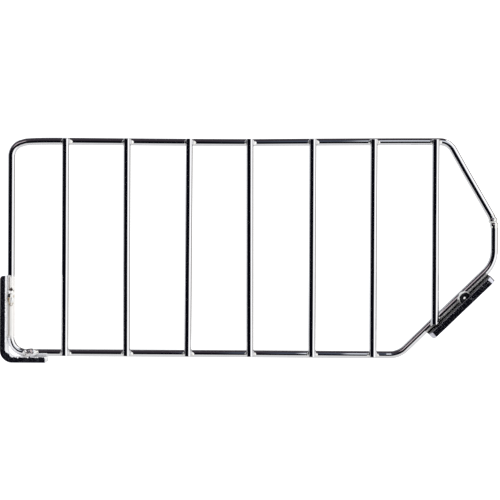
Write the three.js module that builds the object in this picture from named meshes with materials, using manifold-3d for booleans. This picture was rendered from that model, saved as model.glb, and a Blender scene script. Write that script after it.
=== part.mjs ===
// Wire shelf divider: a closed loop of round wire with seven upright wires welded across one side,
// an L-shaped flat bar round the rear bottom corner and a straight flat bar on the lower front slope.
// Millimetres, +Z up. +X runs from the rear of the divider to its nose, and -Y is the side that the
// uprights are welded to. The origin is under the middle of the divider, at the level of its foot.

import * as THREE from "three";
import { mergeVertices } from "three/addons/utils/BufferGeometryUtils.js";
import Module from "manifold-3d";

// Wire
const WIRE_R = 3.175;
const WIRE_SIDES = 24;
const GAP = 0.3;

// Loop, as the corners of the wire's centreline, from the rear bottom corner
const TOP_Z = 175.6;
const TOP_FRONT_X = 362.1;
const NOSE_X = 400.05;
const NOSE_TOP_Z = 110.4;
const NOSE_BOTTOM_Z = 75.7;
const BOTTOM_FRONT_X = 321.4;
const BEND_R = { rear: 12.7, topFront: 12.7, noseTop: 16, noseBottom: 25, bottomFront: 20 };
const BEND_STEP = THREE.MathUtils.degToRad(11);

// Butt weld that closes the loop, in the middle of the bend at the top of the nose
const BUTT_LENGTH = 1.9;
const BUTT_R = 3.55;

// Uprights
const UPRIGHT_COUNT = 7;
const UPRIGHT_FIRST_X = 45.5;
const UPRIGHT_PITCH = 50.8;
const UPRIGHT_Y = -(2 * WIRE_R + GAP);
const END_ROUND = 0.5;

// Collars of squeezed metal where the uprights cross the loop
const COLLAR_R = 3.05;

// Flat bar
const BAR_WIDTH = 25.4;
const BAR_THICK = 4.76;
const BAR_OFFSET = WIRE_R + GAP;
const ARRIS = 0.35;

// Rear bracket
const FOOT_END_X = 29.2;
const BACK_TOP_Z = 63.9;
const BRACKET_INNER_R = 5.4;
const BRACKET_CORNER_R = 2;

// Front plate
const PLATE_LENGTH = 69.85;
const PLATE_UP_SLOPE = 62.9;
const PLATE_CORNER_R = 4.4;
const PLATE_ROLL = THREE.MathUtils.degToRad(6);

// Weld beads. Each is an ellipsoid with these half sizes (along the wire, through the divider, away from
// the bar) round this centre, measured from the wire's axis. Places are counted along the wire from the
// rear bottom corner, where down the back is the positive way, and from the middle of the front plate.
const BEADS = {
  rearUpper: { at: -45.8, size: [8.2, 3.1, 3.2], centre: [0, -3.5, -1.2] },
  rearLower: { at: 16.9, size: [5.7, 3.4, 3.4], centre: [0, -3.7, -1.0] },
  front: { at: 5.1, size: [5.9, 6.2, 4.3], centre: [0, -6.0, -2.9] },
};

// The whole divider is shifted so that the origin is under its middle
const BACK_X = -(BAR_OFFSET + BAR_THICK);
const FRONT_X = NOSE_X + WIRE_R;
const SHIFT = new THREE.Vector3(-(BACK_X + FRONT_X) / 2, 0, BAR_OFFSET + BAR_THICK);

const wasm = await Module();
wasm.setup();

const chrome = new THREE.MeshStandardMaterial({ color: 0xc9cbd0, roughness: 0.12, metalness: 1 });
const barChrome = new THREE.MeshStandardMaterial({ color: 0xb9b9c2, roughness: 0.2, metalness: 1 });
const weldMetal = new THREE.MeshStandardMaterial({ color: 0xcfc9bd, roughness: 0.32, metalness: 1 });

function toSolid(geometry) {
  const bare = geometry.index ? geometry.toNonIndexed() : geometry.clone();
  bare.deleteAttribute("normal");
  bare.deleteAttribute("uv");
  const merged = mergeVertices(bare, 1e-4);
  return new wasm.Manifold(
    new wasm.Mesh({
      numProp: 3,
      vertProperties: Float32Array.from(merged.attributes.position.array),
      triVerts: Uint32Array.from(merged.index.array),
    }),
  );
}

function toGeometry(solid) {
  const mesh = solid.getMesh();
  const geometry = new THREE.BufferGeometry();
  geometry.setAttribute("position", new THREE.BufferAttribute(mesh.vertProperties, 3));
  geometry.setIndex(new THREE.BufferAttribute(mesh.triVerts, 1));
  return geometry;
}

// A path that stops at chosen stations, so that straight lengths take one step and bends take several
class StationPath extends THREE.Curve {
  constructor(stations) {
    super();
    this.stations = stations;
  }
  getPoint(t, target = new THREE.Vector3()) {
    return target.copy(this.stations[Math.round(t * (this.stations.length - 1))].point);
  }
  getPointAt(t, target) {
    return this.getPoint(t, target);
  }
  getTangentAt(t, target = new THREE.Vector3()) {
    return target.copy(this.stations[Math.round(t * (this.stations.length - 1))].tangent);
  }
}

// Stations round one bend of the loop, from one fraction of its turn to another
function bendStations(corners, i, from = 0, to = 1) {
  const { point, radius } = corners[i];
  const before = point.clone().sub(corners.at(i - 1).point).normalize();
  const after = corners[(i + 1) % corners.length].point.clone().sub(point).normalize();
  const turn = before.angleTo(after);
  const axis = before.clone().cross(after).normalize();
  const start = point.clone().addScaledVector(before, -radius * Math.tan(turn / 2));
  const centre = start.clone().addScaledVector(axis.clone().cross(before), radius);
  const steps = Math.max(1, Math.ceil((turn * (to - from)) / BEND_STEP));
  const stations = [];
  for (let k = 0; k <= steps; k += 1) {
    const angle = turn * (from + ((to - from) * k) / steps);
    stations.push({
      point: start.clone().sub(centre).applyAxisAngle(axis, angle).add(centre),
      tangent: before.clone().applyAxisAngle(axis, angle),
    });
  }
  return stations;
}

function roundWire(stations, radius = WIRE_R) {
  const section = new THREE.Shape();
  section.absarc(0, 0, radius, 0, 2 * Math.PI);
  return new THREE.ExtrudeGeometry(section, {
    steps: stations.length - 1,
    curveSegments: WIRE_SIDES / 2,
    extrudePath: new StationPath(stations),
  });
}

// A straight round bar along +Z from the origin, its ends slightly rounded over
function straightWire(length, radius = WIRE_R, round = END_ROUND) {
  const profile = [
    new THREE.Vector2(0, 0),
    new THREE.Vector2(radius - round, 0),
    new THREE.Vector2(radius, round),
    new THREE.Vector2(radius, length - round),
    new THREE.Vector2(radius - round, length),
    new THREE.Vector2(0, length),
  ];
  return new THREE.LatheGeometry(profile, WIRE_SIDES).rotateX(Math.PI / 2);
}

function roundedRectangle(width, height, radius) {
  const x = width / 2;
  const y = height / 2;
  const outline = new THREE.Shape();
  outline.moveTo(-x + radius, -y);
  outline.lineTo(x - radius, -y);
  outline.absarc(x - radius, -y + radius, radius, -Math.PI / 2, 0);
  outline.lineTo(x, y - radius);
  outline.absarc(x - radius, y - radius, radius, 0, Math.PI / 2);
  outline.lineTo(-x + radius, y);
  outline.absarc(-x + radius, y - radius, radius, Math.PI / 2, Math.PI);
  outline.lineTo(-x, -y + radius);
  outline.absarc(-x + radius, -y + radius, radius, Math.PI, 1.5 * Math.PI);
  return outline;
}

// Extrudes an outline to a thickness centred on its plane, with a small broken arris
function barBlank(outline, thickness, arris = ARRIS) {
  const geometry = new THREE.ExtrudeGeometry(outline, {
    depth: thickness - 2 * arris,
    bevelEnabled: arris > 0,
    bevelThickness: arris,
    bevelSize: arris,
    bevelOffset: -arris,
    bevelSegments: 1,
    curveSegments: 5,
  });
  return geometry.translate(0, 0, -(thickness - 2 * arris) / 2);
}

function piece(name, geometry, material) {
  const mesh = new THREE.Mesh(geometry, material);
  mesh.name = name;
  return mesh;
}

// Corners of the loop's centreline, from the top of the nose back along the top and round
const corner = (x, z, radius) => ({ point: new THREE.Vector3(x, 0, z), radius });
const loopCorners = [
  corner(NOSE_X, NOSE_TOP_Z, BEND_R.noseTop),
  corner(TOP_FRONT_X, TOP_Z, BEND_R.topFront),
  corner(0, TOP_Z, BEND_R.rear),
  corner(0, 0, BEND_R.rear),
  corner(BOTTOM_FRONT_X, 0, BEND_R.bottomFront),
  corner(NOSE_X, NOSE_BOTTOM_Z, BEND_R.noseBottom),
];
const slopeFoot = loopCorners[4].point;
const slopeUp = loopCorners[5].point.clone().sub(slopeFoot).normalize();
const slopeOut = new THREE.Vector3(slopeUp.z, 0, -slopeUp.x);
const slopeAngle = Math.atan2(slopeUp.z, slopeUp.x);

// The wire starts and ends on either side of the butt weld
function frameWire() {
  const noseTurn = loopCorners[0].point.clone().sub(loopCorners[5].point)
    .angleTo(loopCorners[1].point.clone().sub(loopCorners[0].point));
  const half = (BUTT_LENGTH / 2 + GAP) / (BEND_R.noseTop * noseTurn);
  const stations = bendStations(loopCorners, 0, 0.5 + half, 1);
  for (let i = 1; i < loopCorners.length; i += 1) {
    stations.push(...bendStations(loopCorners, i));
  }
  stations.push(...bendStations(loopCorners, 0, 0, 0.5 - half));
  return piece("frame_wire", roundWire(stations), chrome);
}

function buttWeld() {
  const half = BUTT_LENGTH / 2;
  const profile = [
    new THREE.Vector2(0, -half),
    new THREE.Vector2(WIRE_R - 0.1, -half),
    new THREE.Vector2(BUTT_R, -half / 2),
    new THREE.Vector2(BUTT_R, half / 2),
    new THREE.Vector2(WIRE_R - 0.1, half),
    new THREE.Vector2(0, half),
  ];
  const middle = bendStations(loopCorners, 0, 0.5, 1)[0];
  const mesh = piece("butt_weld", new THREE.LatheGeometry(profile, WIRE_SIDES), weldMetal);
  mesh.position.copy(middle.point);
  mesh.quaternion.setFromUnitVectors(new THREE.Vector3(0, 1, 0), middle.tangent);
  return mesh;
}

// Height of the loop's lower wire under an upright
function lowerWireZ(x) {
  return x <= BOTTOM_FRONT_X ? 0 : (x - BOTTOM_FRONT_X) * Math.tan(slopeAngle);
}

const uprightX = (i) => UPRIGHT_FIRST_X + UPRIGHT_PITCH * i;

function upright(i) {
  const x = uprightX(i);
  const bottom = lowerWireZ(x) - WIRE_R;
  const top = TOP_Z + WIRE_R;
  const name = `cross_wire_${i + 1}`;
  if (x <= BOTTOM_FRONT_X) {
    const mesh = piece(name, straightWire(top - bottom), chrome);
    mesh.position.set(x, UPRIGHT_Y, bottom);
    return mesh;
  }
  const reach = 3 * WIRE_R;
  const wire = straightWire(top - bottom + reach).translate(x, UPRIGHT_Y, bottom - reach);
  const side = 30;
  const waste = new THREE.BoxGeometry(side, side, side);
  waste.rotateY(-slopeAngle);
  const wireCentre = new THREE.Vector3(x, UPRIGHT_Y, lowerWireZ(x));
  const away = wireCentre.addScaledVector(slopeOut, WIRE_R + side / 2);
  waste.translate(away.x, away.y, away.z);
  return piece(name, toGeometry(toSolid(wire).subtract(toSolid(waste))), chrome);
}

// A thin saddle of metal squeezed out round the spot where an upright lies on the loop
function collar(name, x, z, angle) {
  const ball = new THREE.SphereGeometry(COLLAR_R, 16, 8).rotateX(Math.PI / 2);
  ball.translate(0, UPRIGHT_Y / 2, 0);
  const along = straightWire(20, WIRE_R + GAP, 0.01).translate(0, 0, -10);
  const upper = along.clone().translate(0, UPRIGHT_Y, 0);
  const lower = along.clone().rotateY(Math.PI / 2 - angle);
  const ring = toSolid(ball).subtract(toSolid(upper)).subtract(toSolid(lower));
  const mesh = piece(name, toGeometry(ring), weldMetal);
  mesh.position.set(x, 0, z);
  return mesh;
}

function rearBracket() {
  const inner = -BAR_OFFSET;
  const outer = -BAR_OFFSET - BAR_THICK;
  const outerR = BRACKET_INNER_R + BAR_THICK;
  const outline = new THREE.Shape();
  outline.moveTo(outer, BACK_TOP_Z);
  outline.lineTo(outer, outer + outerR);
  outline.absarc(outer + outerR, outer + outerR, outerR, Math.PI, 1.5 * Math.PI);
  outline.lineTo(FOOT_END_X, outer);
  outline.lineTo(FOOT_END_X, inner);
  outline.lineTo(inner + BRACKET_INNER_R, inner);
  outline.absarc(inner + BRACKET_INNER_R, inner + BRACKET_INNER_R, BRACKET_INNER_R, 1.5 * Math.PI, Math.PI, true);
  outline.lineTo(inner, BACK_TOP_Z);
  const blank = toSolid(barBlank(outline, BAR_WIDTH).rotateX(Math.PI / 2));

  const reach = 40;
  const backHeight = BACK_TOP_Z + reach;
  const back = barBlank(roundedRectangle(BAR_WIDTH, backHeight, BRACKET_CORNER_R), 200, 0);
  back.rotateX(Math.PI / 2).rotateZ(Math.PI / 2).translate(0, 0, BACK_TOP_Z - backHeight / 2);
  const footLength = FOOT_END_X + reach;
  const foot = barBlank(roundedRectangle(footLength, BAR_WIDTH, BRACKET_CORNER_R), 200, 0);
  foot.translate(FOOT_END_X - footLength / 2, 0, 0);
  const shaped = blank.intersect(toSolid(back)).intersect(toSolid(foot));
  return piece("rear_bracket", toGeometry(shaped), barChrome);
}

function frontPlate() {
  const outline = roundedRectangle(PLATE_LENGTH, BAR_WIDTH, PLATE_CORNER_R);
  const mesh = piece("front_plate", barBlank(outline, BAR_THICK), barChrome);
  mesh.position.z = -(BAR_OFFSET + BAR_THICK / 2);
  return mesh;
}

// A bead in the groove between a wire along +X and a flat bar under it
function bead(name, { at, size, centre }) {
  const lump = new THREE.SphereGeometry(1, 16, 10).scale(...size).translate(...centre);
  const wire = straightWire(60, WIRE_R + GAP, 0.01).translate(0, 0, -30).rotateY(Math.PI / 2);
  const bar = new THREE.BoxGeometry(60, 60, 20).translate(0, 0, -BAR_OFFSET - 10 + GAP);
  const shaped = toSolid(lump).subtract(toSolid(wire)).subtract(toSolid(bar));
  const mesh = piece(name, toGeometry(shaped), weldMetal);
  mesh.position.x = at;
  return mesh;
}

// A frame whose +X runs along a straight length of the loop and whose -Z points out of the loop
function alongWire(point, angle, roll = 0) {
  const frame = new THREE.Group();
  frame.rotation.order = "YXZ";
  frame.rotation.set(roll, -angle, 0);
  frame.position.copy(point);
  return frame;
}

const divider = new THREE.Group();
divider.position.copy(SHIFT);
divider.add(frameWire());
divider.add(buttWeld());
for (let i = 0; i < UPRIGHT_COUNT; i += 1) {
  const x = uprightX(i);
  divider.add(upright(i));
  divider.add(collar(`top_weld_${i + 1}`, x, TOP_Z, 0));
  divider.add(collar(`bottom_weld_${i + 1}`, x, lowerWireZ(x), x > BOTTOM_FRONT_X ? slopeAngle : 0));
}
divider.add(rearBracket());

const foot = alongWire(new THREE.Vector3(0, 0, 0), 0);
foot.add(bead("rear_lower_weld", BEADS.rearLower));
const back = alongWire(new THREE.Vector3(0, 0, 0), -Math.PI / 2);
back.add(bead("rear_upper_weld", BEADS.rearUpper));
const plateMiddle = slopeFoot.clone().addScaledVector(slopeUp, PLATE_UP_SLOPE);
const seat = alongWire(plateMiddle, slopeAngle, PLATE_ROLL);
seat.add(frontPlate(), bead("front_weld", BEADS.front));
divider.add(foot, back, seat);

export default divider;
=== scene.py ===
"""Looks of the wire shelf divider: chrome wires, sheared flat bars and weld beads in a plain white studio."""

import math

import bmesh
import bpy
from mathutils import Matrix, Vector, noise


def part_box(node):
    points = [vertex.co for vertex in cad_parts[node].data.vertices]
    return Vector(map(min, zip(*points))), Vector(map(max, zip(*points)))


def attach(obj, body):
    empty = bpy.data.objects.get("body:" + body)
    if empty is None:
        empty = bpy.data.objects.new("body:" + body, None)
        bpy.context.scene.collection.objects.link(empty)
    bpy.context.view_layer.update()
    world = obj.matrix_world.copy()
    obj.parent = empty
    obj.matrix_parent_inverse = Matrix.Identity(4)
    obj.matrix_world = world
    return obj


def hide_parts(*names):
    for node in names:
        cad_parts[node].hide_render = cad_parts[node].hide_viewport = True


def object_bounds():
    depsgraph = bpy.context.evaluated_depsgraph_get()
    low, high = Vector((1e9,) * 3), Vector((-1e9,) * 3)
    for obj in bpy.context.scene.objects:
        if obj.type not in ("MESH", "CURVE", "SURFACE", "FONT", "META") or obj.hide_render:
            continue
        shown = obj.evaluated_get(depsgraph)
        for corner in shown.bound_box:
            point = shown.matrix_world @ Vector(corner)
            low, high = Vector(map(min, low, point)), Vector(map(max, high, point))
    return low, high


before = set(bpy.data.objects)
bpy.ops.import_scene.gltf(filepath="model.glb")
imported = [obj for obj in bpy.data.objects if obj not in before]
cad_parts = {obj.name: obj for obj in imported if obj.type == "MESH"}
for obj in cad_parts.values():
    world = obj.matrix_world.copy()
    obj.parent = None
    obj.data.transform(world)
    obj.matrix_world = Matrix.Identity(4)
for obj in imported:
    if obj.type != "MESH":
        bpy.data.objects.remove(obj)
cad_low, cad_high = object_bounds()

MM = 0.001
ACROSS = Vector((0, 1, 0))

# Wires. Each upright sank a little into the loop as it was welded, and stops short of the loop's outside.
WIRE_R = 3.175 * MM
UPRIGHTS = 7
SET_DOWN = 0.45 * MM
UPRIGHT_FOOT = 0.9 * MM
UPRIGHT_HEAD = 1.25 * MM
UPRIGHT_ROUND = 0.3 * MM
UPRIGHT_BOW = 0.15 * MM
HEAD_STEP = 0.1 * MM
UPRIGHT_Y = -(2 * WIRE_R - SET_DOWN)
# Extra sections near an upright's ends, in shares of the rounding
NEAR_FOOT = (0.1, 0.3, 0.6, 1.0, 1.3, 2.0, 3.5)
NEAR_HEAD = (0.1, 0.4, 1.0, 2.0, 3.3, 5.3, 8.8)
# How far each upright was set off its mark, at the top and at the bottom, mm
OFF_MARK = ((-0.2, -0.2), (-0.4, -0.1), (0.15, -0.4), (-0.6, 0.1), (0.55, 0.45), (0.2, 0.0), (0.5, 0.4))

# The loop's centreline, from the wire's own box
loop_low, loop_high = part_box("frame_wire")
ORIGIN = Vector((loop_low.x + WIRE_R, 0.0, loop_low.z + WIRE_R))
LENGTH = loop_high.x - loop_low.x - 2 * WIRE_R
HEIGHT = loop_high.z - loop_low.z - 2 * WIRE_R
NOSE_TOP = ORIGIN + Vector((LENGTH, 0.0, 110.4 * MM))
FRONT_TOP = ORIGIN + Vector((362.1 * MM, 0.0, HEIGHT))
REAR_TOP = ORIGIN + Vector((0.0, 0.0, HEIGHT))
SLOPE_FOOT = ORIGIN + Vector((321.4 * MM, 0.0, 0.0))
NOSE_BOTTOM = ORIGIN + Vector((LENGTH, 0.0, 75.7 * MM))
CORNERS = (NOSE_TOP, FRONT_TOP, REAR_TOP, ORIGIN, SLOPE_FOOT, NOSE_BOTTOM)
BEND_RADII = (25 * MM, 12.7 * MM, 12.7 * MM, 12.7 * MM, 20 * MM, 25 * MM)
SLOPE = (NOSE_BOTTOM - SLOPE_FOOT).normalized()
SLOPE_OUT = Vector((SLOPE.z, 0.0, -SLOPE.x))

# How far the long wires stray from straight, fading out up and down the bends by STRAY_DEPTH
REAR_DIP = 1.33 * MM
REAR_DIP_AT = 9 * MM
REAR_DIP_FADE = 10 * MM
TOP_BOW = 0.75 * MM
TOP_RISE = 0.8 * MM
TOP_RISE_FROM = 200 * MM
BOTTOM_LIFT = 0.12 * MM
BOTTOM_DROP = 0.5 * MM
DRAW_BACK = 0.3 * MM
FIRST_UPRIGHT = 45.5 * MM
PITCH = 50.8 * MM
STRAY_DEPTH = 26 * MM

# Flat bars
BAR_WIDTH = 25.4 * MM
ARRIS = 0.3 * MM
SHEAR_LEAN = 0.35 * MM
BAR_STEP = 0.6 * MM
END_EASE = 0.35 * MM
END_STEPS = 16
BRACKET_THICK = 4.5 * MM
BRACKET_OFFSET = 3.2 * MM
BRACKET_INNER_R = 5.9 * MM
BRACKET_CORNER_R = 0.45 * MM
BRACKET_ROLLS = (3.3 * MM, 0.6 * MM)
FOOT_EXTRA = 0.6 * MM
BURR_HEIGHT = 2.0 * MM
BURR_REACH = 2.6 * MM
# How ragged the sheared arrises are, mm, and how many times more so beyond the burr
BRACKET_RAGGED = 0.3
PLATE_RAGGED = 0.35
FOOT_RAGGED = 5.5
PLATE_THICK = 5.4 * MM
PLATE_OFFSET = 3.25 * MM
PLATE_CORNER_R = 4.4 * MM
PLATE_ROLLS = (0.6 * MM, 0.6 * MM)
PLATE_LENGTH = 69.85 * MM
PLATE_UP_SLOPE = 64.3 * MM
PLATE_ROLL = math.radians(7.2)
# Zones round a bar's section, each with its own finish: inner face, cut edge and outer face
INNER, CUT, OUTER = range(3)

# Welds: where each bead's middle is along the leg, along the bottom wire and up the slope
LEG_BEAD = 46.2 * MM
FOOT_BEAD = 16.4 * MM
SLOPE_BEAD = 71.2 * MM
BUTT_LENGTH = 13 * MM
BUTT_STEPS = 40
LUMP_ROWS = 60
LUMP_COLUMNS = 72
# Collars: depth in front of the loop's plane, reach all round, and extra reach along the wire, mm
COLLAR_PROFILE = (
    (-5.8, 2.6, 0.0), (-5.2, 2.95, 0.0), (-4.7, 3.15, 0.1), (-4.3, 3.25, 0.3),
    (-3.95, 3.35, 0.7), (-3.65, 3.45, 1.2), (-3.4, 3.4, 1.7), (-3.15, 3.2, 2.3),
    (-2.85, 2.9, 2.7), (-2.3, 2.3, 2.6), (-1.7, 1.8, 1.5),
)
# Lowest and highest points of the collars at the top and at the bottom, mm
TOP_COLLAR = (-3.2, 1.7)
BOTTOM_COLLAR = (-1.9, 3.2)

# Camera: how far off it stands, how wide a strip it sees at the loop, and what it aims at
CAMERA_DISTANCE = 1.5
SEEN_WIDTH = 414.3 * MM
CAMERA_AIM = ORIGIN + Vector((197.7, 0, 85.9)) * MM
CAMERA_ROLL = math.radians(0.27)
SENSOR = 36.0


# ---------------------------------------------------------------- mesh helpers


def wobble(x, y=0.0, z=0.0, scale=1.0, seed=0.0):
    """Smooth noise about zero, the same on every run."""
    return noise.noise(Vector((x * scale + seed, y * scale - seed, z * scale + 2 * seed)))


def within(value):
    """Value held between 0 and 1."""
    return min(1.0, max(0.0, value))


def ring_lengths(stations):
    """How far along its line each station is."""
    lengths = [0.0]
    for a, b in zip(stations, stations[1:]):
        lengths.append(lengths[-1] + (b[0] - a[0]).length)
    return lengths


def new_object(name, verts, faces, uvs, materials, slots):
    """A smooth mesh object with its faces turned out, and a material slot for each face."""
    mesh = bpy.data.meshes.new(name)
    mesh.from_pydata(verts, [], faces)
    layer = mesh.uv_layers.new(name="along")
    for loop in mesh.loops:
        layer.data[loop.index].uv = uvs[loop.vertex_index]
    for material in materials:
        mesh.materials.append(material)
    for polygon, slot in zip(mesh.polygons, slots):
        polygon.use_smooth = True
        polygon.material_index = slot
    mesh.update()
    shell = bmesh.new()
    shell.from_mesh(mesh)
    bmesh.ops.recalc_face_normals(shell, faces=shell.faces)
    shell.to_mesh(mesh)
    shell.free()
    obj = bpy.data.objects.new(name, mesh)
    bpy.context.scene.collection.objects.link(obj)
    return obj


def skin(rings, uv_of, materials, name, slot_of=None, cap_slot=0):
    """A closed body through rings of points, with a fan of faces over each end."""
    count = len(rings[0])
    verts = [point for ring in rings for point in ring]
    uvs = [uv_of(i, k) for i in range(len(rings)) for k in range(count)]
    faces = []
    slots = []
    for i in range(len(rings) - 1):
        for k in range(count):
            a, n = i * count, (k + 1) % count
            faces.append((a + k, a + n, a + count + n, a + count + k))
            slots.append(slot_of(i, k) if slot_of else 0)
    for end in (0, len(rings) - 1):
        hub = len(verts)
        verts.append(sum(rings[end], Vector()) / count)
        uvs.append(uv_of(end, 0))
        for k in range(count):
            a, n = end * count, (k + 1) % count
            faces.append((a + n, a + k, hub) if end == 0 else (a + k, a + n, hub))
            slots.append(cap_slot)
    return new_object(name, verts, faces, uvs, materials, slots)


def finish_piece(obj, node):
    """Hides the CAD node the piece stands in for, and hangs the piece under the root body."""
    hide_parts(node)
    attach(obj, "root")
    return obj


# ---------------------------------------------------------------- materials


class Graph:
    """Adds nodes to one node tree. Inputs are numbers, colours or outputs, and each call gives an output."""

    def __init__(self, tree):
        self.nodes = tree.nodes
        self.links = tree.links

    def join(self, value, socket):
        """Sets the socket to a number or a colour, or links an output to it."""
        if isinstance(value, bpy.types.NodeSocket):
            self.links.new(value, socket)
        elif isinstance(value, tuple) and len(value) < len(socket.default_value):
            socket.default_value = (*value, 1)
        else:
            socket.default_value = value

    def place(self, name):
        """Where on the object a point is, in the coordinates of this name."""
        return self.nodes.new("ShaderNodeTexCoord").outputs[name]

    def attribute(self, name):
        node = self.nodes.new("ShaderNodeAttribute")
        node.attribute_name = name
        return node.outputs["Fac"]

    def split(self, vector):
        node = self.nodes.new("ShaderNodeSeparateXYZ")
        self.join(vector, node.inputs[0])
        return node.outputs

    def stretched(self, vector, scale):
        node = self.nodes.new("ShaderNodeMapping")
        self.join(scale, node.inputs["Scale"])
        self.join(vector, node.inputs["Vector"])
        return node.outputs["Vector"]

    def noise(self, vector, scale, detail=3.0, rough=0.5):
        node = self.nodes.new("ShaderNodeTexNoise")
        self.join(scale, node.inputs["Scale"])
        self.join(detail, node.inputs["Detail"])
        self.join(rough, node.inputs["Roughness"])
        self.join(vector, node.inputs["Vector"])
        return node.outputs["Fac"]

    def ramp(self, factor, stops):
        node = self.nodes.new("ShaderNodeValToRGB")
        elements = node.color_ramp.elements
        elements[0].position, elements[0].color = stops[0][0], (*stops[0][1], 1)
        elements[1].position, elements[1].color = stops[-1][0], (*stops[-1][1], 1)
        for position, colour in stops[1:-1]:
            elements.new(position).color = (*colour, 1)
        self.join(factor, node.inputs["Fac"])
        return node.outputs["Color"]

    def band_ramp(self, factor, span, edge):
        """Black outside span and white inside it."""
        off, on = (0.0, 0.0, 0.0), (1.0, 1.0, 1.0)
        return self.ramp(factor, [(span[0] - edge, off), (span[0], on), (span[1], on), (span[1] + edge, off)])

    def spread(self, value, low, high, start=0.0, end=1.0, fade="LINEAR"):
        """Value carried from start..end to low..high."""
        node = self.nodes.new("ShaderNodeMapRange")
        node.interpolation_type = fade
        self.join(start, node.inputs["From Min"])
        self.join(end, node.inputs["From Max"])
        self.join(low, node.inputs["To Min"])
        self.join(high, node.inputs["To Max"])
        self.join(value, node.inputs["Value"])
        return node.outputs["Result"]

    def math(self, operation, *values):
        node = self.nodes.new("ShaderNodeMath")
        node.operation = operation
        for value, socket in zip(values, node.inputs):
            self.join(value, socket)
        return node.outputs[0]

    def vector_math(self, operation, *values):
        node = self.nodes.new("ShaderNodeVectorMath")
        node.operation = operation
        for value, socket in zip(values, node.inputs):
            self.join(value, socket)
        return node.outputs["Value" if operation == "LENGTH" else "Vector"]

    def mix(self, factor, a, b):
        """Colour a where factor is 0, and b where it is 1."""
        node = self.nodes.new("ShaderNodeMix")
        node.data_type = "RGBA"
        self.join(factor, node.inputs["Factor"])
        self.join(a, node.inputs[6])
        self.join(b, node.inputs[7])
        return node.outputs[2]

    def bump(self, height, distance, strength, under=None):
        node = self.nodes.new("ShaderNodeBump")
        self.join(strength, node.inputs["Strength"])
        self.join(distance, node.inputs["Distance"])
        self.join(height, node.inputs["Height"])
        if under:
            self.join(under, node.inputs["Normal"])
        return node.outputs["Normal"]


def new_material(name):
    material = bpy.data.materials.new(name)
    material.use_nodes = True
    shader = material.node_tree.nodes["Principled BSDF"]
    return material, Graph(material.node_tree), shader.inputs


def wire_chrome():
    """Bright plate over drawn wire: faint lengthwise die lines, soft waviness and a few dull specks. The
    attribute dull frosts it; a second attribute makes it golden above zero, and below zero paints it
    near-white: painted light."""
    material, graph, shader = new_material("chrome_wire")
    along = graph.stretched(graph.place("UV"), (60.0, 26.0, 1.0))
    lines = graph.noise(along, 3.0, 4.0, 0.6)
    waves = graph.noise(graph.place("Object"), 45.0, 1.0)
    specks = graph.noise(graph.place("Object"), 900.0, 2.0)
    frost = graph.math("MULTIPLY", graph.attribute("dull"), graph.spread(waves, 0.7, 1.0, 0.3, 0.7))
    tarnish_and_painted_light = graph.attribute("tarnish_and_painted_light")
    tone = graph.ramp(lines, [(0.3, (0.80, 0.80, 0.83)), (0.7, (0.90, 0.90, 0.91))])
    tone = graph.mix(frost, tone, (0.66, 0.648, 0.625))
    tone = graph.mix(tarnish_and_painted_light, tone, (0.10, 0.06, 0.028))
    # Painted light: below zero the colour goes near-white, where the wire lies against the leg.
    tone = graph.mix(graph.math("MULTIPLY", tarnish_and_painted_light, -1), tone, (0.98, 0.98, 0.98))
    sheen = graph.math("MULTIPLY_ADD", frost, 0.5, graph.spread(specks, 0.018, 0.05, 0.5, 0.9))
    soft = graph.bump(waves, 0.2 * MM, 0.08)
    graph.join(tone, shader["Base Color"])
    graph.join(graph.spread(frost, 1.0, 0.25), shader["Metallic"])
    graph.join(sheen, shader["Roughness"])
    graph.join(graph.bump(lines, 0.01 * MM, 0.06, soft), shader["Normal"])
    return material


def bar_chrome(name, dull, bright, metal=1.0):
    """Plate over rolled bar: mill waviness and fine scratches. Frosted where it plated slowly."""
    material, graph, shader = new_material(name)
    long_way = graph.stretched(graph.place("UV"), (40.0, 400.0, 1.0))
    scratches = graph.noise(long_way, 6.0, 5.0, 0.65)
    waves = graph.noise(graph.place("Object"), 120.0, 2.0)
    tone = graph.ramp(waves, [(0.3, (bright - 0.08, bright - 0.08, bright - 0.05)), (0.7, (bright,) * 3)])
    soft = graph.bump(waves, 0.2 * MM, 0.15)
    graph.join(tone, shader["Base Color"])
    graph.join(metal, shader["Metallic"])
    graph.join(graph.spread(scratches, dull * 0.8, dull * 1.3, 0.35, 0.75), shader["Roughness"])
    graph.join(graph.bump(scratches, 0.02 * MM, 0.25, soft), shader["Normal"])
    return material


def sheared_edge():
    """Cut edge of the bar under plate: burnished dark, with torn pits that catch the light."""
    material, graph, shader = new_material("sheared_edge")
    tears = graph.noise(graph.stretched(graph.place("UV"), (500.0, 160.0, 1.0)), 1.6, 5.0, 0.6)
    pits = graph.noise(graph.place("Object"), 700.0, 3.0, 0.6)
    stops = [(0.35, (0.62, 0.62, 0.70)), (0.62, (0.72, 0.72, 0.80)), (0.8, (0.86, 0.86, 0.90))]
    torn = graph.bump(graph.spread(pits, 0.0, 1.0, 0.55, 0.8), 0.10 * MM, 0.35)
    graph.join(graph.ramp(pits, stops), shader["Base Color"])
    graph.join(1.0, shader["Metallic"])
    graph.join(graph.spread(tears, 0.08, 0.20, 0.45, 0.8), shader["Roughness"])
    graph.join(graph.bump(tears, 0.03 * MM, 0.25, torn), shader["Normal"])
    return material


def weld_relief(graph, shader, smoothest, roughest):
    """The ripples and grain of weld metal under its plate. Gives back the pattern of the ripples."""
    ripples = graph.noise(graph.place("Object"), 260.0, 2.0)
    grain = graph.noise(graph.place("Object"), 1500.0, 4.0, 0.6)
    soft = graph.bump(ripples, 0.3 * MM, 0.3)
    graph.join(graph.spread(grain, smoothest, roughest, 0.35, 0.75), shader["Roughness"])
    graph.join(graph.bump(grain, 0.04 * MM, 0.4, soft), shader["Normal"])
    return ripples


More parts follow.
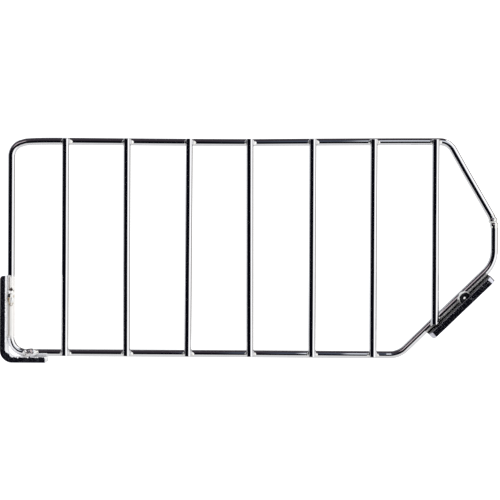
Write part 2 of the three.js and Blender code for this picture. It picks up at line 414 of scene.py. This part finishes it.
def weld_plate(name, tint, metal=1.0, stains=()):
    """Plate over weld metal, slightly dull. Each stain is where it lies, u and v, and its colour; the
    near-black ones are painted shade.
    """
    material, graph, shader = new_material(name)
    ripples = weld_relief(graph, shader, 0.05, 0.16)
    tone = graph.ramp(ripples, [(0.36, tint), (0.5, (0.87, 0.87, 0.86)), (0.68, (0.92, 0.92, 0.93))])
    place = graph.split(graph.place("UV"))
    for u, v, colour in stains:
        near_u = graph.band_ramp(place["X"], u, 0.025)
        near_v = graph.band_ramp(place["Y"], v, 0.03)
        tone = graph.mix(graph.math("MULTIPLY", near_u, near_v), tone, colour)
    graph.join(tone, shader["Base Color"])
    graph.join(metal, shader["Metallic"])
    return material


def crater_plate():
    """Plate over the crater where the arc stopped: a black ring of painted shade round it, and a white
    painted highlight in the middle.
    """
    material, graph, shader = new_material("weld_plate_crater_painted_light")
    ripples = weld_relief(graph, shader, 0.08, 0.25)
    tone = graph.ramp(ripples, [(0.36, (0.80, 0.79, 0.76)), (0.6, (0.92, 0.92, 0.93))])
    turns, middle = (math.pi, 2 * math.pi, 0.0), (-0.5 * math.pi, -math.pi, 0.0)
    spot = graph.vector_math("MULTIPLY_ADD", graph.place("UV"), turns, middle)
    reach = graph.vector_math("LENGTH", spot)
    # Painted highlight: a white, unmetallic spot in the middle of the crater.
    painted_highlight = graph.ramp(reach, [(0.21, (1, 1, 1)), (0.27, (0, 0, 0))])
    # Painted shade: a near-black ring round the middle.
    tone = graph.mix(graph.band_ramp(reach, (0.34, 0.80), 0.06), tone, (0.01, 0.01, 0.013))
    tone = graph.mix(painted_highlight, tone, (0.95, 0.95, 0.95))
    graph.join(tone, shader["Base Color"])
    graph.join(graph.spread(painted_highlight, 0.85, 0.0), shader["Metallic"])
    return material


WIRE = wire_chrome()
BAR = bar_chrome("bar_chrome", 0.10, 0.86)
# Painted shade: a copy of the bar chrome darkened to 0.15, for the face of the front plate that lies against
# the loop.
PAINTED_SHADE_BAR = bar_chrome("bar_chrome_painted_shade", 0.12, 0.15)
SATIN_BAR = bar_chrome("bar_chrome_frosted", 0.45, 0.91, 0.35)
EDGE = sheared_edge()
WELD = weld_plate("weld_plate", (0.80, 0.78, 0.75))
# Stains on the upper bead at the rear: their spans of u and v, and their colour. The two near-black ones are
# painted shade in its pits and hollows; the others are golden and brown patches.
PAINTED_PIT_SHADE = ((0.75, 0.93), (0.30, 0.80), (0.05, 0.035, 0.03))
PAINTED_BLACK_SHADE = ((0.49, 0.60), (0.54, 0.74), (0.01, 0.01, 0.012))
GOLDEN = ((0.14, 0.46), (0.58, 0.76), (0.30, 0.19, 0.07))
BROWN = ((0.03, 0.15), (0.45, 0.76), (0.14, 0.07, 0.02))
WELD_WARM = weld_plate("weld_plate_warm", (0.62, 0.56, 0.48), 0.7, (PAINTED_PIT_SHADE, PAINTED_BLACK_SHADE, GOLDEN, BROWN))
CRATER_PAINTED_LIGHT = crater_plate()


# ---------------------------------------------------------------- wires


def bend(point, before, after, radius, begin=0.0, end=1.0, step=math.radians(2.5)):
    """Stations (point, tangent) round one bend, from one fraction of its turn to another."""
    turn = before.angle(after)
    axis = before.cross(after).normalized()
    start = point - before * radius * math.tan(turn / 2)
    centre = start + axis.cross(before) * radius
    count = max(2, math.ceil(turn * (end - begin) / step))
    stations = []
    for k in range(count + 1):
        angle = turn * (begin + (end - begin) * k / count)
        turned = Matrix.Rotation(angle, 3, axis)
        stations.append((centre + turned @ (start - centre), turned @ before))
    return stations


def straight(stations, spacing=2.5 * MM):
    """Adds stations along the straight lengths between bends."""
    filled = [stations[0]]
    for point, tangent in stations[1:]:
        last = filled[-1][0]
        gap = (point - last).length
        if gap < 1e-7:
            continue
        count = math.ceil(gap / spacing)
        for k in range(1, count + 1):
            filled.append((last.lerp(point, k / count), tangent))
    return filled


def wire_rings(stations, side, sides, seed, end_round=0.0):
    """Circles across a wire, a hair out of round as drawn wire is, with its ends rounded over."""
    lengths = ring_lengths(stations)
    rings = []
    for (point, tangent), s in zip(stations, lengths):
        up = side.cross(tangent).normalized()
        ends = min(s, lengths[-1] - s)
        shrink = 1.0
        if ends < end_round:
            shrink = math.sqrt(max(0.0, 1 - (1 - ends / end_round) ** 2)) * 0.22 + 0.78
        ring = []
        for k in range(sides):
            angle = 2 * math.pi * k / sides
            r = WIRE_R * shrink * (1 + 0.004 * wobble(s, 0, 0, 38.0, seed + math.cos(angle)))
            ring.append(point + side * r * math.cos(angle) + up * r * math.sin(angle))
        rings.append(ring)
    return rings, lengths


def wire_object(name, node, rings, lengths, along=0.0):
    """The wire through its rings. Its plate starts at a place of its own, along, so no two look alike."""
    sides = len(rings[0])
    obj = skin(rings, lambda i, k: (lengths[i] + along, 2 * min(k, sides - k) / sides), [WIRE], name)
    return finish_piece(obj, node)


def top_lift(x):
    """How far the top wire strays from straight: it comes out of the rear bend low, sags a little behind the
    middle and rises to the front."""
    span = FRONT_TOP.x - ORIGIN.x
    past = x - ORIGIN.x
    ahead = within((past - TOP_RISE_FROM) / (span - TOP_RISE_FROM))
    rise = ahead * (2.6 - 1.7 * ahead)
    bow = math.sin(math.pi * within(past / span))
    if past > REAR_DIP_AT:
        dip = math.exp((REAR_DIP_AT - past) / REAR_DIP_FADE)
    else:
        dip = 0.35 + 0.65 * max(0.0, past) / REAR_DIP_AT
    return TOP_RISE * rise - TOP_BOW * bow - REAR_DIP * dip


def bottom_lift(x):
    """The bottom wire droops a hair towards its front bend."""
    return BOTTOM_LIFT - BOTTOM_DROP * within((x - ORIGIN.x) / (SLOPE_FOOT.x - ORIGIN.x)) ** 2


def drawn_back(x):
    """Weld shrinkage pulls the bottom wire back at each upright, so it bows forward in between."""
    u = (x - ORIGIN.x - FIRST_UPRIGHT) / PITCH
    return DRAW_BACK * ((2 * (u - math.floor(u)) - 1) ** 2 - 1) if 0 < u < UPRIGHTS else 0.0


def strayed(point):
    """Where a point of the true loop lies once its long wires stray."""
    near_top = within(1 - (FRONT_TOP.z - point.z) / STRAY_DEPTH)
    near_bottom = within(1 - (point.z - ORIGIN.z) / STRAY_DEPTH)
    lift = top_lift(point.x) * near_top + bottom_lift(point.x) * near_bottom
    back = drawn_back(point.x) * near_bottom if point.x < SLOPE_FOOT.x - 8 * MM else 0.0
    return point + Vector((0, back, lift))


def make_loop():
    """The loop wire, from the middle of the bend at the top of the nose all the way round to it again."""
    count = len(CORNERS)
    stations = []

    def add(i, begin=0.0, end=1.0):
        before = (CORNERS[i] - CORNERS[i - 1]).normalized()
        after = (CORNERS[(i + 1) % count] - CORNERS[i]).normalized()
        stations.extend(bend(CORNERS[i], before, after, BEND_RADII[i], begin, end))

    add(0, 0.5, 1.0)
    for i in range(1, count):
        add(i)
    add(0, 0.0, 0.5)
    shaped = [(strayed(point), tangent) for point, tangent in straight(stations)]
    rings, lengths = wire_rings(shaped, ACROSS, 56, 3.1)
    stain_loop(wire_object("loop_wire", "frame_wire", rings, lengths))


def stain_loop(obj):
    """Frosts the loop where it is shut in by the flat bars, with a golden line down the leg's near side, and
    near-white painted light on the side pressed against the leg.
    """
    leg_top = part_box("rear_bracket")[1].z
    dull = obj.data.attributes.new("dull", "FLOAT", "POINT")
    tarnish_and_painted_light = obj.data.attributes.new("tarnish_and_painted_light", "FLOAT", "POINT")
    for vertex in obj.data.vertices:
        place = vertex.co
        aside = (place.x - ORIGIN.x) / WIRE_R
        if aside < 1.2:
            frost = within((leg_top - place.z) / (0.8 * MM))
            frost *= within((place.z - ORIGIN.z - 10.5 * MM) / (4 * MM))
            streak = math.exp(-(((aside + 0.44) / 0.17) ** 2)) if place.y < 0 else 0.0
            dull.data[vertex.index].value = frost
            # Below zero is painted light: near-white on the side of the wire that faces the leg.
            tarnish_and_painted_light.data[vertex.index].value = (streak - within((-0.62 - aside) / 0.12)) * frost
        from_foot = place - SLOPE_FOOT
        past_middle = abs(from_foot.dot(SLOPE) - PLATE_UP_SLOPE)
        if past_middle < PLATE_LENGTH / 2 and 0.42 < from_foot.dot(SLOPE_OUT) / WIRE_R < 0.9:
            dull.data[vertex.index].value = 0.9


def upright_x(i):
    """Where upright i stands on the loop, from the middle of its own box."""
    low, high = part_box(f"cross_wire_{i + 1}")
    return (low.x + high.x) / 2


def off_mark(i):
    """How far upright i is off its mark, at the top and at the bottom."""
    return (off * MM for off in OFF_MARK[i])


def lower_wire_z(x):
    """Height of the wire that an upright at x stands on: the bottom wire, or the slope."""
    return ORIGIN.z + max(0.0, x - SLOPE_FOOT.x) * SLOPE.z / SLOPE.x


def make_upright(i):
    """One upright, a hair bowed. The foremost is cut short to the line of the slope."""
    x = upright_x(i)
    top_off, bottom_off = off_mark(i)
    slanted = x > SLOPE_FOOT.x
    bottom = lower_wire_z(x) - WIRE_R + (0.0 if slanted else UPRIGHT_FOOT)
    top = ORIGIN.z + HEIGHT + WIRE_R - UPRIGHT_HEAD + (i - 1.5) * HEAD_STEP
    up = Vector((0, 0, 1))
    steps = 64
    points = []
    for k in range(steps + 1):
        t = k / steps
        curve = UPRIGHT_BOW * math.sin(math.pi * t) * wobble(i, 0, 0, 5.3, 2.0)
        off = bottom_off + (top_off - bottom_off) * t + curve
        points.append(Vector((x + off, UPRIGHT_Y, bottom + (top - bottom) * t)))
    points += [points[0] + up * (share * UPRIGHT_ROUND) for share in NEAR_FOOT]
    points += [points[steps] - up * (share * UPRIGHT_ROUND) for share in NEAR_HEAD]
    points.sort(key=lambda point: point.z)
    stations = [(point, up) for point in points]
    rings, lengths = wire_rings(stations, Vector((1, 0, 0)), 48, 7.0 + i, UPRIGHT_ROUND)
    if slanted:
        cut_to_slope(rings, Vector((x, 0, lower_wire_z(x))))
    return wire_object(f"upright_{i + 1}", f"cross_wire_{i + 1}", rings, lengths, i * 0.37)


def cut_to_slope(rings, foot):
    """Lifts the lower end of an upright to the line of the sloping wire."""
    for ring in rings:
        for k, point in enumerate(ring):
            beyond = (point - foot).dot(SLOPE_OUT) - (WIRE_R - 0.4 * MM)
            if point.z < foot.z + 5 * MM and beyond > 0:
                ring[k] = point + Vector((0, 0, -beyond / SLOPE_OUT.z))


# ---------------------------------------------------------------- welds


def lump(name, node, sizes, centre, turn, place, material, seed, rough, ripple, pits):
    """A lumpy bead: an ellipsoid pushed about by smooth noise. Each pit is its direction, width and depth."""
    rings = []
    for i in range(LUMP_ROWS + 1):
        polar = math.pi * (i + 0.02) / (LUMP_ROWS + 0.04)
        ring = []
        for k in range(LUMP_COLUMNS):
            angle = 2 * math.pi * k / LUMP_COLUMNS
            out = math.sin(polar)
            unit = Vector((math.cos(polar), out * math.cos(angle), out * math.sin(angle)))
            push = 1 + rough * wobble(unit.x, unit.y, unit.z, 1.7, seed)
            push += 0.25 * rough * wobble(unit.x, unit.y, unit.z, 4.1, seed + 5)
            push += ripple * math.cos(9.0 * (unit.x + 0.25 * unit.z * unit.z) + seed)
            for aim, width, depth in pits:
                away = (unit - Vector(aim).normalized()).length / width
                lip = 0.45 * math.exp(-((away - 1.5) / 0.5) ** 2)
                push -= depth * (math.exp(-away * away) - lip)
            local = Vector((unit.x * sizes[0], unit.y * sizes[1], unit.z * sizes[2])) * push + Vector(centre)
            ring.append(place + turn @ (local * MM))
        rings.append(ring)
    obj = skin(rings, lambda i, k: (i / LUMP_ROWS, k / LUMP_COLUMNS), [material], name)
    return finish_piece(obj, node)


def make_collar(name, node, middle, angle, seed, limits):
    """Metal squeezed out where two wires were pressed together hot: a skirt that runs out along the loop."""
    turn = Matrix.Rotation(-angle, 3, "Y")
    lowest, highest = limits
    sides = 48
    rings = []
    for depth, reach, along in COLLAR_PROFILE:
        ring = []
        for k in range(sides):
            phi = 2 * math.pi * k / sides
            lobe = max(0.0, math.cos(phi + 0.2)) ** 6 + 0.75 * max(0.0, -math.cos(phi - 0.2)) ** 6
            r = reach + along * lobe
            r *= 1 + 0.10 * wobble(math.cos(phi), math.sin(phi), depth * 0.3, 1.5, seed)
            local = Vector((r * math.cos(phi), 0, min(highest, max(lowest, r * math.sin(phi)))))
            push = 0.12 * wobble(math.cos(phi), math.sin(phi), depth, 2.1, seed + 9)
            ring.append(middle + (turn @ local + Vector((0, depth + push, 0))) * MM)
        rings.append(ring)
    obj = skin(rings, lambda i, k: (i / (len(COLLAR_PROFILE) - 1), k / sides), [WELD], name)
    return finish_piece(obj, node)


def make_collars():
    """A collar at each end of each upright."""
    for i in range(UPRIGHTS):
        x = upright_x(i)
        top_off, bottom_off = off_mark(i)
        angle = math.atan2(SLOPE.z, SLOPE.x) if x > SLOPE_FOOT.x else 0.0
        top = Vector((x + top_off, 0, ORIGIN.z + HEIGHT + top_lift(x)))
        bottom = Vector((x + bottom_off, 0, lower_wire_z(x)))
        seed = 11.0 + 3.7 * i
        make_collar(f"collar_top_{i + 1}", f"top_weld_{i + 1}", top, 0.0, seed, TOP_COLLAR)
        seed += 50.0
        make_collar(f"collar_bottom_{i + 1}", f"bottom_weld_{i + 1}", bottom, angle, seed, BOTTOM_COLLAR)


def make_butt():
    """The weld that closes the loop, at the top of the nose: two swellings round the wire, a dip between."""
    before = (NOSE_TOP - NOSE_BOTTOM).normalized()
    after = (FRONT_TOP - NOSE_TOP).normalized()
    radius = BEND_RADII[0]
    point, tangent = bend(NOSE_TOP, before, after, radius, 0.5, 1.0)[0]
    inner = before.cross(after).normalized().cross(tangent).normalized()
    marks = [(k / BUTT_STEPS - 0.5) * BUTT_LENGTH for k in range(BUTT_STEPS + 1)]
    middles = [point + tangent * s + inner * (s * s / (2 * radius)) for s in marks]
    sides = 48
    rings = []
    for j, middle in enumerate(middles):
        s = marks[j] / MM
        swell = 0.10 + 0.75 * math.exp(-((s - 1.2) / 1.5) ** 2) + 0.45 * math.exp(-((s + 3.0) / 1.4) ** 2)
        swell -= 0.3 * math.exp(-((s + 0.9) / 0.6) ** 2)
        reach = abs(s) / 6.55
        swell *= 1 - reach**6
        heading = (middles[min(BUTT_STEPS, j + 1)] - middles[max(0, j - 1)]).normalized()
        up = ACROSS.cross(heading).normalized()
        ring = []
        for k in range(sides):
            angle = 2 * math.pi * k / sides
            lumps = 0.2 * wobble(math.cos(angle), math.sin(angle), s * 0.25, 1.6, 21.0) * (1 - reach**4)
            r = WIRE_R + (swell + lumps - 0.06) * MM
            ring.append(middle + ACROSS * r * math.cos(angle) + up * r * math.sin(angle))
        rings.append(ring)
    obj = skin(rings, lambda j, k: (j / BUTT_STEPS, k / sides), [WELD], "loop_weld")
    return finish_piece(obj, "butt_weld")


def make_beads():
    """The beads between the loop and the flat bars, on their near side. Sizes and centres are in mm."""
    upright = Matrix.Rotation(math.pi / 2, 3, "Y")
    pits = (((-0.75, -0.6, 0.1), 0.22, 0.22), ((-0.3, -0.8, 0.5), 0.25, 0.16))
    lump("bead_rear_upper", "rear_upper_weld", (7.6, 2.6, 2.7), (0, -2.4, 0.25), upright,
         ORIGIN + Vector((0, 0, LEG_BEAD)), WELD_WARM, 41.0, 0.10, 0.035, pits)
    pits = (((-0.6, -0.75, -0.5), 0.26, 0.2), ((0.0, -0.8, -0.6), 0.3, 0.2), ((0.6, -0.7, -0.3), 0.22, 0.12))
    lump("bead_rear_lower", "rear_lower_weld", (6.7, 2.9, 3.4), (0, -2.6, 0.3), Matrix.Identity(3),
         ORIGIN + Vector((FOOT_BEAD, 0, 0)), WELD, 47.0, 0.14, 0.03, pits)
    crater = (((0.03, -1.0, 0.03), 0.50, 0.50), ((0.05, -1.0, 0.02), 0.2, -0.2))
    lump("bead_front", "front_weld", (5.8, 5.2, 4.6), (0, -5.2, -1.9), plate_turn(),
         SLOPE_FOOT + SLOPE * SLOPE_BEAD, CRATER_PAINTED_LIGHT, 53.0, 0.09, 0.0, crater)


# ---------------------------------------------------------------- flat bars


def bar_section(s, half_width, inner, outer, jag, bulge, seed):
    """Points round the bar's section, as (across, depth from the inner face, zone)."""
    turns = 5
    side = 14
    flat = 12
    arris = min(ARRIS, (outer - inner) * 0.3)

    def across(depth, sign):
        share = (depth - inner) / max(outer - inner, 1e-6)
        fine = 0.05 * MM * wobble(s, depth, sign, 700.0, seed)
        coarse = 0.08 * MM * wobble(s, depth * 0.3, sign, 240.0, seed + 9)
        return sign * (half_width - SHEAR_LEAN * (1 - share) + fine + coarse)

    def arc(depth, sign, k):
        """Point k of a rounded arris: how far across it is, and how much shallower than a square one."""
        angle = math.pi / 2 * k / turns
        return across(depth, sign) - sign * arris * (1 - math.cos(angle)), arris * (1 - math.sin(angle))

    def edge(sign, start):
        points = []
        for k in reversed(range(turns + 1)):
            w, short = arc(start + arris, sign, k)
            points.append((w, start + short, CUT))
        for k in range(1, side):
            depth = start + arris + (outer - start - 2 * arris) * k / side
            points.append((across(depth, sign), depth, CUT))
        for k in range(turns + 1):
            w, short = arc(outer - arris, sign, k)
            points.append((w, outer - short, CUT))
        return points

    torn_in = jag * (wobble(s, 0, 0, 620.0, seed + 3) + 0.6 * wobble(s, 0, 0, 1500.0, seed + 4)) * MM
    near = edge(-1, inner + torn_in - bulge)
    far = edge(1, inner)
    points = list(near)
    a, b = near[-1], far[-1]
    for k in range(1, flat):
        points.append((a[0] + (b[0] - a[0]) * k / flat, a[1] + (b[1] - a[1]) * k / flat, OUTER))
    points.extend(reversed(far))
    a, b = far[0], near[0]
    for k in range(1, flat):
        w = a[0] + (b[0] - a[0]) * (k / flat) ** 0.5
        lift = (b[1] - a[1]) * math.exp(-abs(w - b[0]) / (0.7 * MM))
        points.append((w, a[1] + lift, INNER))
    return points


def shortfall(radius, ends):
    """How far a corner of this radius has fallen away, this near its end."""
    return radius - math.sqrt(max(0.0, radius**2 - (radius - ends) ** 2)) if ends < radius else 0.0


def make_bar(name, node, stations, across, thick, corner_r, rolls, jag, burr_at, seed, face):
    """Sweeps the bar's section along its inner face. The shear rolled each end's outer arris over, and a bent
    bar has a burr inside its bend, at burr_at, and a ragged arris beyond it."""
    lengths = ring_lengths(stations)
    total = lengths[-1]
    rings, sections, marks = [], [], []

    def add(point, tangent, s):
        ends = min(s, total - s)
        half = BAR_WIDTH / 2 - shortfall(corner_r, ends)
        outer = thick - 0.9 * shortfall(rolls[0] if s < total - s else rolls[1], ends)
        inner = END_EASE * max(0.0, 1 - ends / END_EASE) ** 2
        burr = BURR_HEIGHT * math.exp(-(((s - burr_at) / BURR_REACH) ** 2)) if burr_at else 0.0
        torn = jag * (FOOT_RAGGED if 0 < burr_at < s else 1.0)
        section = bar_section(s, half, inner, outer, torn, burr, seed)
        rings.append([point + across * w + across.cross(tangent) * d for w, d, _ in section])
        sections.append(section)
        marks.append(s)

    reach = max(corner_r, rolls[0], rolls[1]) + 0.1 * MM
    close_in = [reach * (k / END_STEPS) ** 2 for k in range(END_STEPS + 1)]
    for s in close_in:
        add(stations[0][0] + stations[0][1] * s, stations[0][1], s)
    for (point, tangent), s in zip(stations, lengths):
        if reach + 0.15 * MM < s < total - reach - 0.15 * MM:
            add(point, tangent, s)
    for s in reversed(close_in):
        add(stations[-1][0] - stations[-1][1] * s, stations[-1][1], total - s)
    uv = lambda i, k: (marks[i], sections[i][k][0] + sections[i][k][1])
    obj = skin(rings, uv, [face, EDGE, BAR], name, lambda i, k: sections[i][k][2], OUTER)
    return finish_piece(obj, node)


def make_bracket():
    """The bar bent to an L, from the top of its leg down round the rear bottom corner to its foot's end."""
    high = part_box("rear_bracket")[1]
    corner = ORIGIN - Vector((BRACKET_OFFSET, 0, BRACKET_OFFSET))
    down, forward = Vector((0, 0, -1)), Vector((1, 0, 0))
    stations = [(Vector((corner.x, 0, high.z)), down)]
    stations += bend(corner, down, forward, BRACKET_INNER_R)
    stations.append((Vector((high.x + FOOT_EXTRA, 0, corner.z)), forward))
    leg = high.z - corner.z - BRACKET_INNER_R
    bend_middle = leg + BRACKET_INNER_R * math.pi / 4
    return make_bar("foot_bracket", "rear_bracket", straight(stations, BAR_STEP), ACROSS, BRACKET_THICK,
                    BRACKET_CORNER_R, BRACKET_ROLLS, BRACKET_RAGGED, bend_middle, 13.0, SATIN_BAR)


def plate_turn():
    """The turn of the front plate: its X goes up the slope and its Z into the loop."""
    angle = math.atan2(SLOPE.z, SLOPE.x)
    return Matrix.Rotation(-angle, 3, "Y") @ Matrix.Rotation(PLATE_ROLL, 3, "X")


def make_plate():
    """The straight bar on the front slope, a little turned about its own length."""
    along, across, up = plate_turn().col
    middle = SLOPE_FOOT + SLOPE * PLATE_UP_SLOPE - up * PLATE_OFFSET
    start = middle - along * PLATE_LENGTH / 2
    stations = straight([(start, along), (start + along * PLATE_LENGTH, along)], BAR_STEP)
    # The face against the loop takes the darkened chrome: painted shade.
    return make_bar("seat_plate", "front_plate", stations, across, PLATE_THICK,
                    PLATE_CORNER_R, PLATE_ROLLS, PLATE_RAGGED, 0.0, 31.0, PAINTED_SHADE_BAR)


# ---------------------------------------------------------------- studio


def make_table_glow():
    """A lit card under and behind the object, the bright table top, that only shows in reflections."""
    near, far, side, height = -0.24, 2.5, 3, -0.148
    mesh = bpy.data.meshes.new("table_glow")
    corners = [(-side, near, height), (side, near, height), (side, far, height), (-side, far, height)]
    mesh.from_pydata(corners, [], [(0, 1, 2, 3)])
    material = bpy.data.materials.new("table_glow")
    material.use_nodes = True
    nodes = material.node_tree.nodes
    nodes.clear()
    glow = nodes.new("ShaderNodeEmission")
    glow.inputs["Color"].default_value = (1, 1, 1, 1)
    glow.inputs["Strength"].default_value = 0.76
    out = nodes.new("ShaderNodeOutputMaterial")
    material.node_tree.links.new(glow.outputs[0], out.inputs["Surface"])
    mesh.materials.append(material)
    card = bpy.data.objects.new("table_glow", mesh)
    bpy.context.scene.collection.objects.link(card)
    card.visible_camera = False
    card.visible_diffuse = False
    card.visible_shadow = False


def make_world():
    """White for the camera and the floor; for reflections, a dark room in front of a pale backdrop. The room
    has a shelf up on the right with a bright strip on it, a doorway on the left and a white right wall."""
    world = bpy.data.worlds.new("studio")
    bpy.context.scene.world = world
    world.use_nodes = True
    graph = Graph(world.node_tree)
    graph.nodes.clear()
    x, y, z = graph.split(graph.place("Generated"))

    def fade(value, start, end, low=0.0, high=1.0):
        return graph.spread(value, low, high, start, end, "SMOOTHSTEP")

    def band(value, start, end, edge):
        opening, closing = fade(value, start - edge, start + edge), fade(value, end + edge, end - edge)
        return graph.math("MULTIPLY", opening, closing)

    def patch(x_span, x_edge, z_span, z_edge):
        return graph.math("MULTIPLY", band(x, *x_span, x_edge), band(z, *z_span, z_edge))

    grey, dark_grey, white = (0.42, 0.40, 0.37), (0.15, 0.135, 0.12), (1.05, 1.05, 1.05)
    front = graph.mix(fade(z, 0.08, 0.6), (0.003, 0.003, 0.006), (0.046, 0.038, 0.048))
    front = graph.mix(patch((0.0, 0.34), 0.03, (0.12, 0.70), 0.05), front, (0.075, 0.09, 0.125))
    front = graph.mix(patch((0.058, 0.34), 0.012, (0.16, 0.62), 0.05), front, (0.85, 0.88, 0.95))
    front = graph.mix(patch((-0.50, -0.17), 0.03, (0.28, 0.54), 0.03), front, (0.62, 0.53, 0.56))
    front = graph.mix(fade(z, -0.62, -0.78), front, (0.70, 0.71, 0.72))
    front = graph.mix(fade(x, 0.34, 0.42), front, (1.15, 1.15, 1.15))
    front = graph.mix(fade(x, 0.965, 0.985), front, grey)

    rim = graph.mix(fade(z, 0.12, 0.28), grey, dark_grey)
    low_right = graph.mix(fade(y, 0.5, 0.68), rim, white)
    high_right = graph.mix(fade(y, 0.72, 0.86), rim, white)
    right = graph.mix(fade(z, 0.10, 0.22), low_right, high_right)
    left = graph.mix(fade(y, 0.1, 0.5), (0.58, 0.60, 0.63), (0.66, 0.68, 0.70))
    behind = graph.mix(fade(x, -0.3, 0.3), left, right)
    depth = graph.math("ADD", fade(z, 0.55, 0.95, 0.0, -0.28), y)
    room = graph.mix(fade(depth, 0.02, 0.14), front, behind)

    seen, mirrored = (graph.nodes.new("ShaderNodeBackground") for _ in range(2))
    graph.join((1.0, 1.0, 1.0), seen.inputs["Color"])
    graph.join(1.6, seen.inputs["Strength"])
    graph.join(room, mirrored.inputs["Color"])
    choose = graph.nodes.new("ShaderNodeMixShader")
    graph.join(graph.nodes.new("ShaderNodeLightPath").outputs["Is Glossy Ray"], choose.inputs[0])
    graph.join(seen.outputs[0], choose.inputs[1])
    graph.join(mirrored.outputs[0], choose.inputs[2])
    graph.join(choose.outputs[0], graph.nodes.new("ShaderNodeOutputWorld").inputs["Surface"])


def make_lamp():
    """One big soft lamp over the right shoulder."""
    data = bpy.data.lights.new("softbox", "AREA")
    data.shape = "RECTANGLE"
    data.size = 1.6
    data.size_y = 1.2
    data.energy = 18
    lamp = bpy.data.objects.new("softbox", data)
    lamp.location = (1.4, -1.3, 1.5)
    lamp.rotation_euler = (Vector((0, 0, 0.08)) - lamp.location).to_track_quat("-Z", "Y").to_euler()
    lamp.visible_glossy = False
    bpy.context.scene.collection.objects.link(lamp)


def make_floor():
    """A plain pale floor just below the object."""
    mesh = bpy.data.meshes.new("floor")
    size = 12
    corners = [(-size, -size, 0), (size, -size, 0), (size, size, 0), (-size, size, 0)]
    mesh.from_pydata(corners, [], [(0, 1, 2, 3)])
    material, graph, shader = new_material("pale_floor")
    grain = graph.noise(graph.place("Object"), 6.0)
    tone = graph.ramp(grain, [(0.3, (0.38, 0.38, 0.38)), (0.7, (0.40, 0.40, 0.40))])
    graph.join(tone, shader["Base Color"])
    graph.join((1.0, 1.0, 1.0), shader["Emission Color"])
    graph.join(0.85, shader["Emission Strength"])
    graph.join(0.9, shader["Roughness"])
    graph.join(0.0, shader["Specular IOR Level"])
    mesh.materials.append(material)
    floor = bpy.data.objects.new("floor", mesh)
    floor.location.z = cad_low.z - 0.4 * MM
    bpy.context.scene.collection.objects.link(floor)
    floor.visible_glossy = False


def make_camera():
    """Square on to the loop, rolled a hair."""
    data = bpy.data.cameras.new("camera")
    data.sensor_width = SENSOR
    data.lens = SENSOR * CAMERA_DISTANCE / SEEN_WIDTH
    data.clip_end = 60
    camera = bpy.data.objects.new("camera", data)
    bpy.context.scene.collection.objects.link(camera)
    turn = Matrix.Rotation(math.pi / 2, 4, "X") @ Matrix.Rotation(CAMERA_ROLL, 4, "Z")
    camera.matrix_world = Matrix.Translation(CAMERA_AIM - ACROSS * CAMERA_DISTANCE) @ turn
    bpy.context.scene.camera = camera


make_camera()
make_world()
make_floor()
make_table_glow()
make_lamp()
bpy.context.scene.view_settings.view_transform = "Standard"

make_loop()
for index in range(UPRIGHTS):
    make_upright(index)
make_collars()
make_butt()
make_bracket()
make_plate()
make_beads()
